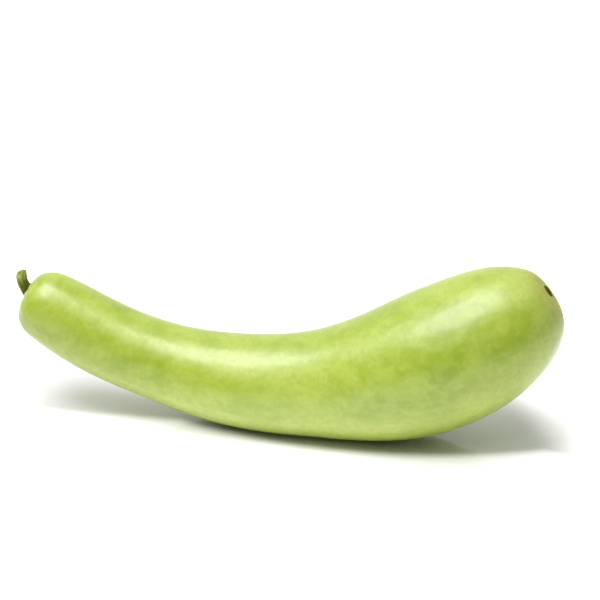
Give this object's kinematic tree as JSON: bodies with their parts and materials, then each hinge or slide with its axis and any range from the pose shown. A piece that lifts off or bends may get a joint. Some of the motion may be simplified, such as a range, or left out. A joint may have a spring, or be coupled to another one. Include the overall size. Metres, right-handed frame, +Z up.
{
  "type": "bottle gourd",
  "caption": "Long curved pale green bottle gourd, as picked, with a slim neck, a swollen blossom end, a short cut stem and a corky blossom scar, lying on its belly",
  "frame": {"origin": "centre of the footprint of the whole object's box, on the surface the gourd lies on", "axes": "+Z up; +X towards the swollen blossom end and -X towards the neck and its stem; +Y away from the viewer of the picture"},
  "size_m": [0.3452, 0.0902, 0.1145],
  "materials": {
    "waxy_skin": "satin wax on pale green skin",
    "cut_stalk": "ribbed, matte",
    "dry_cork": "dry, matte"
  },
  "bodies": {
    "root": {"fruit": "waxy_skin", "stem": "cut_stalk", "blossom_scar": "dry_cork"}
  },
  "joints": []
}
